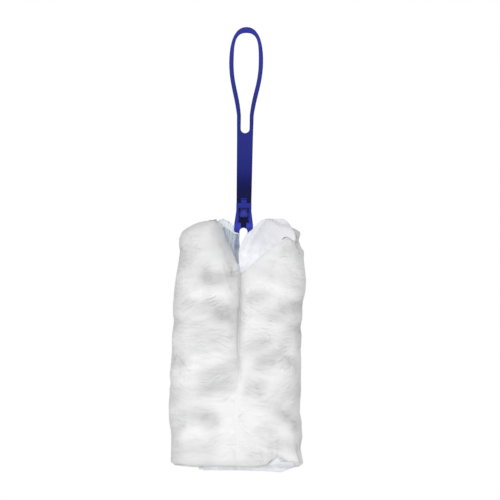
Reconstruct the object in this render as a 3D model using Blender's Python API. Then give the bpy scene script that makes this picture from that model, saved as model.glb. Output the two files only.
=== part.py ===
"""Hand duster with a fluffy refill that is thrown away.

The handle is two polypropylene mouldings: a hanging loop on a flat shaft, and a two-tine fork. A snap
hinge joins them and folds backwards. The refill slides on the fork. Two bonded sheets make its sleeves,
and layers of crimped fibre tow, with a strip sheet between them, are welded to the sheets down the middle.

Frame: metres, +Z up towards the loop, +X to the right as seen from the front, and the front at -Y.
The origin is where the duster hangs, at the inside of the loop's crown. A drop is a distance below it.
"""

import math

import bmesh
import bpy
from mathutils import Vector

mm = 0.001
degree = math.pi / 180

# Fits
fit_gap = 0.3 * mm
cut_overrun = 10.0 * mm

# Hanging loop
crown_thickness = 4.4 * mm
loop_width = 25.5 * mm
rod_width = 3.35 * mm
widest_drop = 22.0 * mm
neck_drop = 62.0 * mm
neck_width = 12.6 * mm
slot_width = 6.6 * mm
slot_drop = 75.2 * mm
curve_steps = 11

# Shaft
handle_thickness = 4.5 * mm
handle_edge_round = 1.1 * mm
shaft_top_drop = 80.0 * mm
shaft_width = 12.0 * mm
shaft_end_width = 11.2 * mm
shaft_end_drop = 128.4 * mm
scoop_start_drop = 104.0 * mm
scoop_end_drop = 121.0 * mm
scoop_depth = 1.5 * mm
scoop_steps = 8

# Hinge
hinge_drop = 136.0 * mm
hinge_behind = 2.6 * mm
hub_radius = 3.8 * mm
hub_width = 5.6 * mm
hub_side_radius = 3.2 * mm
hub_side_recess = 1.2 * mm
stub_radius = 1.5 * mm
stub_round = 0.3 * mm
button_radius = 2.3 * mm
button_drop = 135.0 * mm
button_height = 0.8 * mm
button_dish = 0.45 * mm
button_rim = 0.55 * mm
round_steps = 24

# Fork head
ear_gap = 1.3 * mm
ear_thickness = 1.6 * mm
ear_radius = 3.4 * mm
head_front = 3.0 * mm
head_back = 2.0 * mm
crossbar_height = 3.6 * mm
crossbar_lap = 0.8 * mm
throat_gap = 2.5 * mm
bridge_height = 3.9 * mm
bridge_recess = 2.6 * mm
recess_width = 4.0 * mm
web_recess = 2.9 * mm
web_hub_gap = 0.35 * mm
ledge_width = 0.7 * mm
ledge_front = 1.8 * mm
ledge_back = 1.0 * mm
shoulder_width = 14.2 * mm
shoulder_drop = 144.0 * mm
head_drop = 151.0 * mm
head_edge_round = 0.6 * mm
tab_width = 4.6 * mm
tab_height = 4.6 * mm
tab_thickness = 1.5 * mm
tab_lip = 0.8 * mm
nub_radius = 0.9 * mm
nub_height = 0.6 * mm

# Fork tines
tine_width = 3.6 * mm
tine_thickness = 2.6 * mm
tine_edge_round = 0.7 * mm
tine_root_centre = 4.8 * mm
tine_centre = 9.0 * mm
splay_start_drop = 154.0 * mm
splay_end_drop = 192.0 * mm
tine_tip_drop = 292.0 * mm
bump_drop = 212.0 * mm
bump_length = 9.0 * mm
bump_height = 0.6 * mm
tine_steps = 8

# Refill sheets
seam_offset = 2.0 * mm
sheet_thickness = 0.5 * mm
sheet_left = 31.0 * mm
sheet_right = 34.0 * mm
sheet_shoulder_drop = 144.5 * mm
sleeve_mouth_drop = 151.5 * mm
notch_drop = 164.0 * mm
sheet_bottom_drop = 328.5 * mm
sleeve_inner = 2.4 * mm
sleeve_outer = 12.8 * mm
sleeve_ramp = 1.4 * mm
sleeve_end_drop = 298.0 * mm
sleeve_fade = 9.0 * mm
sheet_pleat = 0.5 * mm
pleat_pitch = 16.0 * mm
sheet_rows = 9
loose_column_shares = (1.35, 1.8, 2.1)

# Tow
tow_top_drop = 139.6 * mm
tow_bottom_drop = 324.0 * mm
tow_half_width = 50.0 * mm
tow_depth = 27.0 * mm
tow_clear = 0.5 * mm
web_half_width = 0.6 * mm
web_thickness = 0.8 * mm
tuft_pitch = 27.0 * mm
tow_v_drop = 172.0 * mm
tow_v_left = 13.0 * mm
tow_v_right = 19.0 * mm
tow_v_waist_drop = 157.0 * mm
tow_v_waist_left = 6.0 * mm
tow_v_waist_right = 8.0 * mm


def clear_scene():
    for old in list(bpy.data.objects):
        bpy.data.objects.remove(old, do_unlink=True)


def plastic(name, colour, roughness):
    material = bpy.data.materials.new(name)
    material.use_nodes = True
    shader = material.node_tree.nodes["Principled BSDF"]
    shader.inputs["Base Color"].default_value = (*colour, 1.0)
    shader.inputs["Roughness"].default_value = roughness
    shader.inputs["Metallic"].default_value = 0.0
    return material


def object_from(mesh_builder, name):
    """Make an object from a bmesh, with its faces turned outwards."""
    bmesh.ops.recalc_face_normals(mesh_builder, faces=mesh_builder.faces)
    mesh = bpy.data.meshes.new(name)
    mesh_builder.to_mesh(mesh)
    mesh_builder.free()
    made = bpy.data.objects.new(name, mesh)
    bpy.context.scene.collection.objects.link(made)
    return made


def prism(name, outline, start, end, place):
    """Extrude an outline of pairs from start to end. place turns (a, b, depth) into a point."""
    builder = bmesh.new()
    first = [builder.verts.new(place(a, b, start)) for a, b in outline]
    face = builder.faces.new(first)
    pushed = bmesh.ops.extrude_face_region(builder, geom=[face])["geom"]
    shift = Vector(place(0, 0, end)) - Vector(place(0, 0, start))
    moved = [item for item in pushed if isinstance(item, bmesh.types.BMVert)]
    bmesh.ops.translate(builder, verts=moved, vec=shift)
    return object_from(builder, name)


def front_prism(name, outline, front, back):
    """Extrude a front-view outline, of (x, z) pairs, through the thickness."""
    return prism(name, outline, front, back, lambda x, z, y: (x, y, z))


def side_prism(name, outline, left, right):
    """Extrude a side-view outline, of (y, z) pairs, across the width."""
    return prism(name, outline, left, right, lambda y, z, x: (x, y, z))


def bake_modifiers(target):
    """Replace the object's mesh by the one that its modifiers give."""
    graph = bpy.context.evaluated_depsgraph_get()
    mesh = bpy.data.meshes.new_from_object(target.evaluated_get(graph))
    target.modifiers.clear()
    target.data = mesh


def combine(target, others, operation):
    """Join, cut or intersect the target with each of the others, which are then removed."""
    for other in others:
        change = target.modifiers.new(operation.lower(), "BOOLEAN")
        change.operation = operation
        change.solver = "EXACT"
        change.object = other
        bake_modifiers(target)
        bpy.data.objects.remove(other, do_unlink=True)


def round_edges(target, width, segments, limit_angle):
    bevel = target.modifiers.new("edge_round", "BEVEL")
    bevel.width = width
    bevel.segments = segments
    bevel.limit_method = "ANGLE"
    bevel.angle_limit = limit_angle
    bake_modifiers(target)


def finish(target, material):
    """Clean the mesh, shade its round faces smooth and give it its material."""
    builder = bmesh.new()
    builder.from_mesh(target.data)
    bmesh.ops.remove_doubles(builder, verts=builder.verts, dist=fit_gap / 100)
    bmesh.ops.dissolve_degenerate(builder, edges=builder.edges, dist=fit_gap / 100)
    bmesh.ops.triangulate(builder, faces=[face for face in builder.faces if len(face.verts) > 4])
    builder.to_mesh(target.data)
    builder.free()
    target.data.shade_smooth()
    target.data.set_sharp_from_angle(angle=35 * degree)
    target.data.materials.clear()
    target.data.materials.append(material)


def bezier(start, start_pull, end_pull, end, steps):
    """Points along a cubic curve, without its last one."""
    points = []
    for step in range(steps):
        t = step / steps
        weights = ((1 - t) ** 3, 3 * t * (1 - t) ** 2, 3 * t * t * (1 - t), t**3)
        corners = (start, start_pull, end_pull, end)
        points.append(tuple(sum(w * p[axis] for w, p in zip(weights, corners)) for axis in (0, 1)))
    return points


def arc(centre, radius, first, last, steps):
    """Points of an arc, both ends included, from one angle to another."""
    angles = [first + (last - first) * step / steps for step in range(steps + 1)]
    return [(centre[0] + radius * math.cos(a), centre[1] + radius * math.sin(a)) for a in angles]


def mirrored(half):
    """Close a right half outline, listed from top to bottom, with its mirror image."""
    return half + [(-x, z) for x, z in reversed(half) if x > fit_gap]


def ease(t):
    """Smooth step from 0 to 1."""
    t = min(1.0, max(0.0, t))
    return t * t * (3 - 2 * t)


def table_value(table, t):
    """Straight-line reading of a table of (place, value) pairs."""
    if t <= table[0][0]:
        return table[0][1]
    for (low, first), (high, last) in zip(table, table[1:]):
        if t <= high:
            return first + (last - first) * (t - low) / (high - low)
    return table[-1][1]


def round_bar(name, rings, place):
    """A turned solid. rings are (distance along the axis, radius), place turns them into points."""
    builder = bmesh.new()
    loops = []
    turns = [2 * math.pi * step / round_steps for step in range(round_steps)]
    for along, radius in rings:
        ring = [place(along, radius * math.cos(a), radius * math.sin(a)) for a in turns]
        loops.append([builder.verts.new(point) for point in ring])
    for lower, upper in zip(loops, loops[1:]):
        for step in range(round_steps):
            after = (step + 1) % round_steps
            builder.faces.new((lower[step], lower[after], upper[after], upper[step]))
    builder.faces.new(loops[0])
    builder.faces.new(loops[-1])
    return object_from(builder, name)


# Handle: the loop and shaft are one outline, cut by the slot and the scoop
def loop_outline():
    half_loop = loop_width / 2
    half_neck = neck_width / 2
    crown_pull_share = 0.75
    side_pull_share = 0.36
    lower_pull_share = 1.71
    neck_pull_shares = (0.64, 0.76)
    half = bezier(
        (0, crown_thickness),
        (half_loop * crown_pull_share, crown_thickness),
        (half_loop, -widest_drop * side_pull_share),
        (half_loop, -widest_drop),
        curve_steps,
    )
    half += bezier(
        (half_loop, -widest_drop),
        (half_loop, -widest_drop * lower_pull_share),
        (half_loop * neck_pull_shares[0], -neck_drop * neck_pull_shares[1]),
        (half_neck, -neck_drop),
        curve_steps,
    )
    half += [
        (half_neck, -neck_drop),
        (shaft_width / 2, -shaft_top_drop),
        (shaft_end_width / 2, -shaft_end_drop),
    ]
    return mirrored(half)


def slot_outline():
    half_slot = slot_width / 2
    half_open = loop_width / 2 - rod_width
    crown_pull_share = 0.9
    side_pull_share = 0.32
    lower_pull_share = 1.77
    neck_pull_shares = (0.5, 0.73)
    half = bezier(
        (0, 0),
        (half_open * crown_pull_share, 0),
        (half_open, -widest_drop * side_pull_share),
        (half_open, -widest_drop),
        curve_steps,
    )
    half += bezier(
        (half_open, -widest_drop),
        (half_open, -widest_drop * lower_pull_share),
        (half_open * neck_pull_shares[0], -neck_drop * neck_pull_shares[1]),
        (half_slot, -neck_drop),
        curve_steps,
    )
    bottom = arc((0, -slot_drop + half_slot), half_slot, 0, -90 * degree, curve_steps // 2)
    return mirrored(half + [(half_slot, -neck_drop)] + bottom)


front_face = -handle_thickness / 2
back_face = handle_thickness / 2
scoop_face = front_face + scoop_depth
ear_inner = hub_width / 2 + ear_gap
ear_outer = ear_inner + ear_thickness
hinge_place = (hinge_behind, -hinge_drop)
bar_back = scoop_face - fit_gap
crossbar_top = crossbar_lap - shaft_end_drop
crossbar_low = crossbar_top - crossbar_height


def make_handle(material):
    handle = front_prism("handle", loop_outline(), front_face, back_face)
    slot = front_prism("slot_cutter", slot_outline(), front_face - cut_overrun, back_face + cut_overrun)
    combine(handle, [slot], "DIFFERENCE")

    scoop = [(front_face - cut_overrun, -scoop_start_drop)]
    for step in range(scoop_steps + 1):
        t = step / scoop_steps
        drop = scoop_start_drop + (scoop_end_drop - scoop_start_drop) * t
        scoop.append((front_face + scoop_depth * ease(t), -drop))
    scoop.append((scoop_face, -shaft_end_drop - cut_overrun))
    scoop.append((front_face - cut_overrun, -shaft_end_drop - cut_overrun))
    combine(handle, [side_prism("scoop_cutter", scoop, -loop_width, loop_width)], "DIFFERENCE")
    round_edges(handle, handle_edge_round, 3, 50 * degree)

    # The tongue carries the hub between the fork's ears
    tongue_top = -shaft_end_drop + hub_radius
    hub_start = math.acos((scoop_face + fit_gap - hinge_behind) / hub_radius)
    hub_end = 2 * math.pi + math.acos((back_face - hinge_behind) / hub_radius)
    tongue = [(back_face - fit_gap, tongue_top), (scoop_face + fit_gap, tongue_top)]
    tongue += arc(hinge_place, hub_radius, hub_start, hub_end, round_steps)
    pieces = [side_prism("tongue", tongue, -hub_width / 2, hub_width / 2)]

    # Beside it a thinner web, set back from the front, fills the width between the ears
    hub_side = ear_inner - fit_gap
    web_front = scoop_face + hub_side_recess
    web = [(web_front, tongue_top), (web_front, -hinge_drop)]
    web += [(back_face - fit_gap, -hinge_drop), (back_face - fit_gap, tongue_top)]
    pieces.append(side_prism("tongue_web", web, -hub_side, hub_side))

    # The hub's shoulders and a stub pin stand out on each side
    stub_end = ear_outer - fit_gap
    rings = [(-stub_end, stub_radius - stub_round), (-stub_end + stub_round, stub_radius)]
    rings += [(-hub_side, stub_radius), (-hub_side, hub_side_radius)]
    rings += [(-along, radius) for along, radius in reversed(rings)]
    pieces.append(
        round_bar("stub_pins", rings, lambda along, a, b: (along, hinge_behind + a, -hinge_drop + b))
    )

    # The round button on the hub's front has a dished face
    button_base = hinge_behind - hub_radius / 2
    button_face = hinge_behind - hub_radius - button_height
    rings = [(button_base, button_radius), (button_face + button_rim / 2, button_radius)]
    rings += [(button_face, button_radius - button_rim / 2), (button_face, button_radius - button_rim)]
    rings += [(button_face + button_dish, button_radius / 2)]
    pieces.append(round_bar("button", rings, lambda along, a, b: (a, along, -button_drop + b)))
    combine(handle, pieces, "UNION")

    # The dimple takes the nub of the fork's tab
    combine(handle, [nub_shape("dimple_cutter", fit_gap)], "DIFFERENCE")
    finish(handle, material)
    return handle


def nub_shape(name, extra):
    """The latch nub on the tab, or with extra clearance the dimple that it sits in."""
    top = -(shaft_end_drop - tab_height / 2) + extra
    low = top - 2 * nub_radius - 2 * extra
    tip = scoop_face - fit_gap + nub_height + extra
    base = scoop_face - fit_gap - nub_height
    slope = nub_height * 2
    side = [(base, top), (tip, top - extra), (tip, low + slope / 2), (base, low - slope / 2)]
    half = nub_radius + extra
    return side_prism(name, side, -half, half)


# Fork: a head made where its front and side outlines meet, with two tines
def head_front_outline():
    half = [
        (ear_outer, crossbar_top),
        (ear_outer, crossbar_low - throat_gap),
        (shoulder_width / 2, -shoulder_drop),
        (shoulder_width / 2, -shoulder_drop - bridge_height),
        (tine_root_centre + tine_width / 2, -head_drop),
    ]
    return mirrored(half)


def head_side_outline():
    outline = [(-head_front, crossbar_top), (bar_back, crossbar_top), (bar_back, crossbar_low)]
    outline += arc(hinge_place, ear_radius, 110 * degree, -50 * degree, round_steps // 2)
    outline += [
        (head_back, -hinge_drop - hub_radius - throat_gap),
        (head_back, -shoulder_drop),
        (tine_thickness / 2, -head_drop),
        (-tine_thickness / 2, -head_drop),
        (-head_front + tine_edge_round, -shoulder_drop),
        (-head_front, -shoulder_drop + throat_gap),
    ]
    return outline


def tine_centre_at(drop):
    t = (drop - splay_start_drop) / (splay_end_drop - splay_start_drop)
    return tine_root_centre + (tine_centre - tine_root_centre) * ease(t)


def bump_at(drop):
    t = abs(drop - bump_drop) / (bump_length / 2)
    return bump_height * (1 - ease(t))


def tine_outline(side):
    """One tine from the front: it splays out below the head, has a bump that grips, and a round tip."""
    half = tine_width / 2
    top_drop = head_drop - tine_width
    tip_centre_drop = tine_tip_drop - half
    drops = [top_drop, splay_start_drop]
    for step in range(1, tine_steps + 1):
        drops.append(splay_start_drop + (splay_end_drop - splay_start_drop) * step / tine_steps)
    for share in (-1.0, -0.6, -0.3, 0.0, 0.3, 0.6, 1.0):
        drops.append(bump_drop + share * bump_length / 2)
    outer = [(tine_centre_at(drop) + half + bump_at(drop), -drop) for drop in drops]
    inner = [(tine_centre_at(drop) - half, -drop) for drop in reversed(drops)]
    tip = arc((tine_centre, -tip_centre_drop), half, 0, -math.pi, 10)
    return [(side * x, z) for x, z in outer + tip + inner]


def make_fork(material):
    head = front_prism("fork", head_front_outline(), -cut_overrun, cut_overrun)
    side = side_prism("head_side", head_side_outline(), -loop_width, loop_width)
    combine(head, [side], "INTERSECT")
    round_edges(head, head_edge_round, 2, 50 * degree)

    # The window between the ears leaves the crossbar in front and a web that cups the hub from below
    bridge_top = -hinge_drop - hub_radius - throat_gap
    web_front = web_recess - head_front
    cup_radius = hub_radius + web_hub_gap
    cup_start = 2 * math.pi - math.acos((head_back - hinge_behind) / cup_radius)
    cup_end = 2 * math.pi - math.acos((web_front - hinge_behind) / cup_radius)
    window = [
        (-head_front - cut_overrun, bridge_top),
        (-head_front - cut_overrun, crossbar_low),
        (bar_back, crossbar_low),
        (bar_back, cut_overrun - shaft_end_drop),
        (hinge_behind + cut_overrun, cut_overrun - shaft_end_drop),
        (hinge_behind + cut_overrun, bridge_top),
        (head_back, bridge_top),
    ]
    window += arc(hinge_place, cup_radius, cup_start, cup_end, round_steps // 4)
    window.append((web_front, bridge_top))
    cutters = [side_prism("window_cutter", window, -ear_inner, ear_inner)]

    # The arch between the tine roots, and the recess in front of the bridge
    arch_half = tine_root_centre - tine_width / 2
    arch_top = bridge_top - bridge_height
    arch = arc((0, arch_top - arch_half), arch_half, math.pi, 0, round_steps // 2)
    arch += [(arch_half, -head_drop - cut_overrun), (-arch_half, -head_drop - cut_overrun)]
    cutters.append(front_prism("arch_cutter", arch, -cut_overrun, cut_overrun))
    recess_half = recess_width / 2
    recess = [
        (-recess_half, bridge_top + fit_gap),
        (recess_half, bridge_top + fit_gap),
        (recess_half, arch_top - arch_half),
        (-recess_half, arch_top - arch_half),
    ]
    recess_back = bridge_recess - head_front
    cutters.append(front_prism("recess_cutter", recess, -head_front - cut_overrun, recess_back))

    # The ears' holes run on the stub pins
    hole_end = ear_outer + cut_overrun
    hole = [(-hole_end, stub_radius + fit_gap), (hole_end, stub_radius + fit_gap)]
    cutters.append(
        round_bar("hole_cutter", hole, lambda along, a, b: (along, hinge_behind + a, -hinge_drop + b))
    )
    combine(head, cutters, "DIFFERENCE")

    # A ledge inside each ear stands in front of the hub's shoulder and hides the gap beside it
    ledge_low = -hinge_drop - hub_radius - throat_gap / 2
    ledges = []
    for side_sign in (-1, 1):
        inner = side_sign * (ear_inner - ledge_width)
        outer = side_sign * (ear_inner + ear_thickness / 2)
        ledge = [
            (-ledge_front, crossbar_low + fit_gap),
            (-ledge_back, crossbar_low + fit_gap),
            (-ledge_back, ledge_low),
            (-ledge_front, ledge_low),
        ]
        ledges.append(side_prism("ledge", ledge, min(inner, outer), max(inner, outer)))

    # The thumb tab rises from the crossbar, thickens to a lip and carries the latch nub
    tab_low = crossbar_low + crossbar_height / 2
    tab_top = -shaft_end_drop + tab_height
    tab_front = bar_back - tab_thickness
    tab = [
        (bar_back, tab_low),
        (bar_back, tab_top),
        (tab_front - tab_lip, tab_top),
        (tab_front - tab_lip, tab_top - tab_lip),
        (tab_front, tab_top - tab_thickness),
        (tab_front, tab_low),
    ]
    tab_solid = side_prism("tab", tab, -tab_width / 2, tab_width / 2)
    round_edges(tab_solid, head_edge_round / 2, 2, 50 * degree)
    tines = []
    for side_sign in (-1, 1):
        tine = front_prism("tine", tine_outline(side_sign), -tine_thickness / 2, tine_thickness / 2)
        round_edges(tine, tine_edge_round, 2, 50 * degree)
        tines.append(tine)
    combine(head, tines + ledges + [tab_solid, nub_shape("nub", 0)], "UNION")
    finish(head, material)
    return head


# Refill sheets: thin skins whose top edge dips to the notch between the sleeves
def sheet_top_at(x):
    """Height of the sheets' top edge: shoulders outside, mouths over the tines, a notch at the seam."""
    from_seam = abs(x + seam_offset)
    mouth_inner = sleeve_inner + seam_offset
    if from_seam < mouth_inner:
        return -notch_drop + (notch_drop - sleeve_mouth_drop) * from_seam / mouth_inner
    rise = ease((abs(x) - sleeve_outer) / (sheet_left - sleeve_outer) * 2)
    return -sleeve_mouth_drop + (sleeve_mouth_drop - sheet_shoulder_drop) * rise


def sleeve_share_at(x, drop):
    """1 over a tine, 0 at the welds."""
    across = min(abs(x) - sleeve_inner, sleeve_outer - abs(x)) / sleeve_ramp + 1
    return ease(across) * (1 - ease((drop - sleeve_end_drop) / sleeve_fade))


def pleat_at(x):
    """A slight wave in the loose part of a sheet, outside the sleeves."""
    loose = ease((abs(x) - sleeve_outer - sleeve_ramp) / sleeve_ramp)
    return sheet_pleat * loose * math.sin(2 * math.pi * x / pleat_pitch)


def sheet_columns():
    left = -sheet_left
    right = sheet_right
    half_notch = sleeve_inner + seam_offset
    columns = [left, right, -seam_offset, -seam_offset - half_notch, -seam_offset + half_notch]
    for sign in (-1, 1):
        for edge in (sleeve_inner, sleeve_outer):
            columns += [sign * (edge - sleeve_ramp), sign * edge, sign * (edge + sleeve_ramp)]
        columns += [sign * sleeve_outer * share for share in loose_column_shares]
    return sorted(columns)


def skin(name, middle_at, material):
    """A sheet of one thickness. middle_at gives how far its middle lies behind the centre plane."""
    builder = bmesh.new()
    columns = sheet_columns()
    rows = []
    for row in range(sheet_rows + 1):
        share = row / sheet_rows
        line = []
        for x in columns:
            top = sheet_top_at(x)
            z = top + (-sheet_bottom_drop - top) * share
            line.append(builder.verts.new((x, middle_at(x, -z), z)))
        rows.append(line)
    for upper, lower in zip(rows, rows[1:]):
        for step in range(len(columns) - 1):
            builder.faces.new((upper[step], upper[step + 1], lower[step + 1], lower[step]))
    made = object_from(builder, name)
    thicken = made.modifiers.new("thickness", "SOLIDIFY")
    thicken.thickness = sheet_thickness
    thicken.offset = 0
    bake_modifiers(made)
    finish(made, material)
    return made


channel_face = tine_thickness / 2 + fit_gap
back_sheet_middle = channel_face + sheet_thickness / 2
sleeve_front_middle = -channel_face - sheet_thickness / 2
weld_middle = back_sheet_middle - sheet_thickness - fit_gap


def back_sheet_at(x, drop):
    return back_sheet_middle - pleat_at(x) * (1 - sleeve_share_at(x, drop))


def sleeve_sheet_at(x, drop):
    lift = (weld_middle - sleeve_front_middle) * sleeve_share_at(x, drop)
    return weld_middle - lift - pleat_at(x) * (1 - sleeve_share_at(x, drop))


# Tow: layers fanned open from the seam like the pages of a book
left_width_shares = (
    (0.0, 0.66), (0.02, 0.76), (0.045, 0.86), (0.08, 0.92), (0.15, 0.955),
    (0.3, 1.0), (0.5, 1.03), (0.7, 1.06), (0.85, 1.04), (0.97, 1.0), (1.0, 0.94),
)
right_width_shares = (
    (0.0, 0.66), (0.025, 0.82), (0.045, 0.88), (0.08, 0.87), (0.13, 0.94),
    (0.3, 0.97), (0.45, 0.94), (0.65, 0.94), (0.85, 0.97), (0.97, 0.98), (1.0, 0.93),
)
depth_shares = (
    (0.0, 0.55), (0.02, 0.63), (0.05, 0.75), (0.12, 0.9), (0.3, 1.0),
    (0.6, 0.98), (0.85, 0.92), (0.96, 0.85), (1.0, 0.7),
)
page_names = ("tow_layer_1", "tow_layer_2", "strip_sheet", "tow_layer_3", "tow_layer_4", "tow_layer_5")
page_edges = [angle * degree for angle in (-55, 8, 44, 46, 84, 124, 168)]
lobe_middle_share = 0.52
lobe_height_share = 0.4
back_edge_share = 0.72
tuft_depth_share = 0.045
tuft_round_power = 0.6
tuft_phase_share = 0.37
slice_crowding_share = 0.03
tow_slices = 27
contour_steps = 4
strip_steps = 1
seam_start = -sleeve_front_middle + sheet_thickness / 2 + tow_clear
tow_count = len(page_names) - 1
stack_height = seam_start + tow_count * (web_thickness + fit_gap) + sheet_thickness + fit_gap


def lobe_point(angle, width, depth):
    """A point of one lobe's outer surface, as (distance from the seam, distance forward)."""
    middle = width * lobe_middle_share
    reach = width - middle
    height = depth * lobe_height_share
    if angle < 0:
        return middle + reach * math.cos(angle), height + (height + tow_clear) * math.sin(angle)
    if angle > math.pi / 2:
        height = max(height, stack_height)
    return middle + reach * math.cos(angle), height + (depth - height) * math.sin(angle)


def tuft_scale(share, page, side):
    """How far a layer swells or draws in, in rounded tufts down its length."""
    phase = page * tuft_phase_share + (side + 1) / 4
    height = share * (tow_bottom_drop - tow_top_drop)
    wave = abs(math.sin(math.pi * (height / tuft_pitch + phase)))
    return 1.0 - tuft_depth_share * (1.0 - wave**tuft_round_power)


def page_half(share, page, side, low, high):
    """One side of a layer's cross-section, from its low edge at the seam to its high edge."""
    shares = right_width_shares if side > 0 else left_width_shares
    width = tow_half_width * table_value(shares, share)
    depth = tow_depth * table_value(depth_shares, share)
    scale = tuft_scale(share, page, side)
    first, last = page_edges[page], page_edges[page + 1]
    points = [(web_half_width, low)]
    if page == 0:
        sheet_edge = (sheet_right if side > 0 else sheet_left) + side * seam_offset
        points.append((min(sheet_edge + fit_gap, width * back_edge_share), low))
    steps = strip_steps if page_names[page] == "strip_sheet" else contour_steps
    trim = fit_gap / width
    for step in range(steps + 1):
        angle = first + trim + (last - first - 2 * trim) * step / steps
        across, forward = lobe_point(angle, width, depth)
        start = low + (high - low) * step / steps
        points.append((across * scale, start + (forward - start) * scale))
    points.append((web_half_width, high))
    return points


def close_band(builder, upper, lower):
    """Join two rings by triangles whose slant is the same on facing layers, so that none cross."""
    count = len(upper)
    for step in range(count):
        after = (step + 1) % count
        reach = abs(upper[step].co.x + seam_offset)
        if reach < abs(upper[after].co.x + seam_offset):
            builder.faces.new((upper[step], upper[after], lower[after]))
            builder.faces.new((upper[step], lower[after], lower[step]))
        else:
            builder.faces.new((upper[step], upper[after], lower[step]))
            builder.faces.new((upper[after], lower[after], lower[step]))


def make_page(name, page, low, high, material):
    """Loft one layer, left and right together, down the refill."""
    builder = bmesh.new()
    rings = []
    for row in range(tow_slices + 1):
        share = row / tow_slices
        share -= slice_crowding_share * math.sin(2 * math.pi * share)
        z = -tow_top_drop - (tow_bottom_drop - tow_top_drop) * share
        right = page_half(share, page, 1, low, high)
        left = page_half(share, page, -1, low, high)
        ring = [(across - seam_offset, -forward, z) for across, forward in right]
        ring += [(-across - seam_offset, -forward, z) for across, forward in reversed(left)]
        rings.append([builder.verts.new(point) for point in ring])
    for upper, lower in zip(rings, rings[1:]):
        close_band(builder, upper, lower)
    bmesh.ops.triangulate(builder, faces=[builder.faces.new(rings[0]), builder.faces.new(rings[-1])])
    made = object_from(builder, name)
    combine(made, [tow_gap_cutter()], "DIFFERENCE")
    finish(made, material)
    return made


def tow_gap_cutter():
    """The V at the top, where the tow parts and the sheets and the fork show."""
    top = cut_overrun - tow_top_drop
    outline = [
        (-seam_offset, -tow_v_drop),
        (tow_v_waist_right - seam_offset, -tow_v_waist_drop),
        (tow_v_right, -tow_top_drop - tow_clear),
        (tow_v_right, top),
        (-tow_v_left, top),
        (-tow_v_left, -tow_top_drop - tow_clear),
        (-tow_v_waist_left - seam_offset, -tow_v_waist_drop),
    ]
    return front_prism("gap_cutter", outline, -tow_depth - cut_overrun, cut_overrun)


clear_scene()
handle_blue = plastic("handle_blue", (0.021, 0.027, 0.216), 0.32)
fork_blue = plastic("fork_blue", (0.021, 0.027, 0.23), 0.32)
sheet_white = plastic("sheet_white", (0.8, 0.83, 0.88), 0.8)
tow_white = plastic("tow_white", (0.85, 0.85, 0.86), 0.95)

make_handle(handle_blue)
fork = make_fork(fork_blue)
skin("back_sheet", back_sheet_at, sheet_white)
skin("sleeve_sheet", sleeve_sheet_at, sheet_white)

seam_height = seam_start
for number, page_name in enumerate(page_names):
    is_sheet = page_name == "strip_sheet"
    page_thickness = sheet_thickness if is_sheet else web_thickness
    page_material = sheet_white if is_sheet else tow_white
    make_page(page_name, number, seam_height, seam_height + page_thickness, page_material)
    seam_height += page_thickness + fit_gap
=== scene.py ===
import math

import bpy
import numpy as np
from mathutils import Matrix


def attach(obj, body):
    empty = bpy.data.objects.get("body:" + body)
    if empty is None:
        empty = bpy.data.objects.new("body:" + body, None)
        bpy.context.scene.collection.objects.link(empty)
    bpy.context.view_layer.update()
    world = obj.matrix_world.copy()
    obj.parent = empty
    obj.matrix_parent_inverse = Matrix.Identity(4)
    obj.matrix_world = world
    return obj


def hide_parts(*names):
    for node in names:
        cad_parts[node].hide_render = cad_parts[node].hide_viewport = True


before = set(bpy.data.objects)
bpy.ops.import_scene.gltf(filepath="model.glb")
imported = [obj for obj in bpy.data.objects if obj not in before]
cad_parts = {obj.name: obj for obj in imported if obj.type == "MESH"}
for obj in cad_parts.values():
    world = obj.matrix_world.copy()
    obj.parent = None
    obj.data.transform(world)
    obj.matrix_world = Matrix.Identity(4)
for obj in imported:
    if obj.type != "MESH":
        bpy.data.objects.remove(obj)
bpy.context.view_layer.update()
bpy.ops.object.select_all(action="DESELECT")

# Handle
# One injection moulding in blue polypropylene: the hanging loop, the shaft and the hinge's hub.
# The satin skin of the tool shows as soft highlights, with faint flow marks along the shaft.


def srgb(code):
    """The linear colour of a hex code such as 2E3494."""
    parts = [int(code[start : start + 2], 16) / 255 for start in (0, 2, 4)]
    linear = [p / 12.92 if p <= 0.04045 else ((p + 0.055) / 1.055) ** 2.4 for p in parts]
    return (*linear, 1.0)


def add_node(tree, kind, inputs=(), **settings):
    """A node with its settings. inputs gives named or numbered inputs a value or another node's socket."""
    node = tree.nodes.new(kind)
    for name, value in settings.items():
        setattr(node, name, value)
    for name, value in dict(inputs).items():
        if isinstance(value, bpy.types.NodeSocket):
            tree.links.new(value, node.inputs[name])
        else:
            node.inputs[name].default_value = value
    return node


def new_material(name, values):
    """A material, its node tree and its shader, with plain values on the shader's own sockets."""
    material = bpy.data.materials.new(name)
    material.use_nodes = True
    shader = material.node_tree.nodes["Principled BSDF"]
    for label, value in values.items():
        shader.inputs[label].default_value = value
    return material, material.node_tree, shader


def mixed(tree, share, first, second):
    """The socket of a colour that goes from the first one to the second as share rises from 0 to 1."""
    return add_node(tree, "ShaderNodeMix", {0: share, 6: first, 7: second}, data_type="RGBA").outputs[2]


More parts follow.
